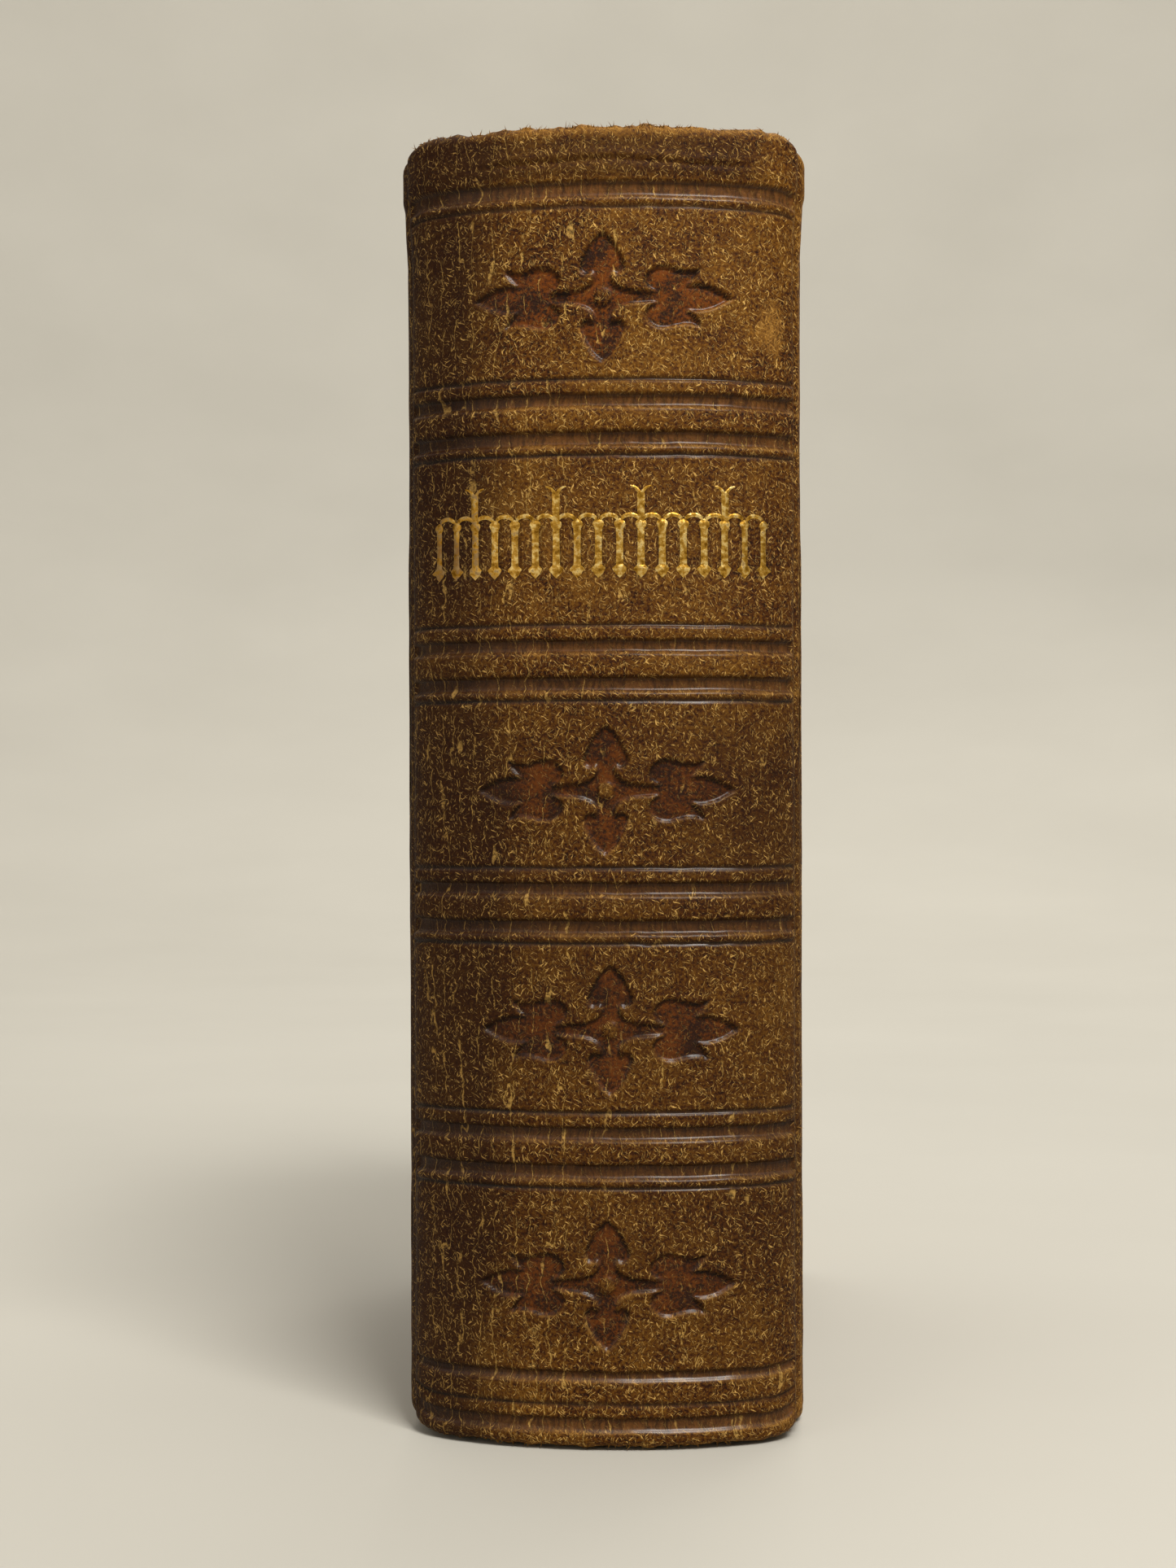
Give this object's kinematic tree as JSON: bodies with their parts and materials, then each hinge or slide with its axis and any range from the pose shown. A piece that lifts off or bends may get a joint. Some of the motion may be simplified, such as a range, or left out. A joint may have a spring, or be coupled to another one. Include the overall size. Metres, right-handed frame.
{
  "type": "prayer book",
  "caption": "Small thick leather-bound prayer book with a rounded, tooled spine; its covers, endleaves and middle opening swing on the joints and the spine.",
  "frame": {"origin": "middle of the closed book's footprint, on the surface it stands on", "axes": "+Z from tail to head, -Y the way the spine faces (so +Y towards the fore-edge), +X towards the front cover; the pictured book lies with its fore-edge down, and is stood upright here"},
  "size_m": [0.0366, 0.082, 0.12],
  "materials": {
    "leather": "worn and rubbed, softly glazed brown calf",
    "board": "matt grey-brown millboard",
    "leaves": "matt, toned, with dulled gilt edges",
    "endpaper": "dark red surface-coloured paper, slightly glazed",
    "card": "matt brown lining paper",
    "cloth": "matt open-weave cotton and linen tape, stiff with glue",
    "silk": "worked silk over a cord core, two colours"
  },
  "bodies": {
    "back_block": {"back_spine_leather": "leather", "back_spine_lining": "card", "back_spine_mull": "cloth", "back_headband": "silk", "back_tailband": "silk", "back_gathering_1": "leaves", "back_gathering_2": "leaves", "back_gathering_3": "leaves", "back_gathering_4": "leaves", "back_gathering_5": "leaves", "back_gathering_6": "leaves", "back_gathering_7": "leaves", "back_tape_1": "cloth", "back_tape_2": "cloth", "back_tape_3": "cloth"},
    "front_block": {"front_spine_leather": "leather", "front_spine_lining": "card", "front_spine_mull": "cloth", "front_headband": "silk", "front_tailband": "silk", "front_gathering_1": "leaves", "front_gathering_2": "leaves", "front_gathering_3": "leaves", "front_gathering_4": "leaves", "front_gathering_5": "leaves", "front_gathering_6": "leaves", "front_gathering_7": "leaves", "front_tape_1": "cloth", "front_tape_2": "cloth", "front_tape_3": "cloth"},
    "front_cover": {"front_side_leather": "leather", "front_board": "board", "front_pastedown": "endpaper", "front_mull_flange": "cloth", "front_tape_slip_1": "cloth", "front_tape_slip_2": "cloth", "front_tape_slip_3": "cloth"},
    "back_cover": {"back_side_leather": "leather", "back_board": "board", "back_pastedown": "endpaper", "back_mull_flange": "cloth", "back_tape_slip_1": "cloth", "back_tape_slip_2": "cloth", "back_tape_slip_3": "cloth"},
    "front_flyleaf": {"front_flyleaf": "endpaper"},
    "back_flyleaf": {"back_flyleaf": "endpaper"},
    "middle_leaf_1": {"middle_leaf_1": "leaves"},
    "middle_leaf_2": {"middle_leaf_2": "leaves"},
    "middle_leaf_3": {"middle_leaf_3": "leaves"}
  },
  "joints": [
    {"name": "open_at_middle", "type": "hinge", "parent": "back_block", "child": "front_block", "pos_m": [0, -0.041, 0.06], "axis": [0, 0, -1], "range_deg": [0, 90]},
    {"name": "open_front_cover", "type": "hinge", "parent": "front_block", "child": "front_cover", "pos_m": [0.0168, -0.0333, 0.06], "axis": [0, 0, -1], "range_deg": [0, 140]},
    {"name": "open_back_cover", "type": "hinge", "parent": "back_block", "child": "back_cover", "pos_m": [-0.0168, -0.0333, 0.06], "axis": [0, 0, 1], "range_deg": [0, 140]},
    {"name": "turn_front_flyleaf", "type": "hinge", "parent": "front_block", "child": "front_flyleaf", "pos_m": [0.01485, -0.0325, 0.06], "axis": [0, 0, -1], "range_deg": [0, 70]},
    {"name": "turn_back_flyleaf", "type": "hinge", "parent": "back_block", "child": "back_flyleaf", "pos_m": [-0.01485, -0.0325, 0.06], "axis": [0, 0, 1], "range_deg": [0, 70]},
    {"name": "turn_middle_leaf_1", "type": "hinge", "parent": "back_block", "child": "middle_leaf_1", "pos_m": [0, -0.041, 0.06], "axis": [0, 0, -1], "range_deg": [0, 22.5]},
    {"name": "turn_middle_leaf_2", "type": "hinge", "parent": "back_block", "child": "middle_leaf_2", "pos_m": [0, -0.041, 0.06], "axis": [0, 0, -1], "range_deg": [0, 45]},
    {"name": "turn_middle_leaf_3", "type": "hinge", "parent": "back_block", "child": "middle_leaf_3", "pos_m": [0, -0.041, 0.06], "axis": [0, 0, -1], "range_deg": [0, 67.5]}
  ],
  "couplings": [
    {"joint": "turn_front_flyleaf", "follows": "open_front_cover", "ratio": 0.5},
    {"joint": "turn_back_flyleaf", "follows": "open_back_cover", "ratio": 0.5},
    {"joint": "turn_middle_leaf_1", "follows": "open_at_middle", "ratio": 0.25},
    {"joint": "turn_middle_leaf_2", "follows": "open_at_middle", "ratio": 0.5},
    {"joint": "turn_middle_leaf_3", "follows": "open_at_middle", "ratio": 0.75}
  ]
}
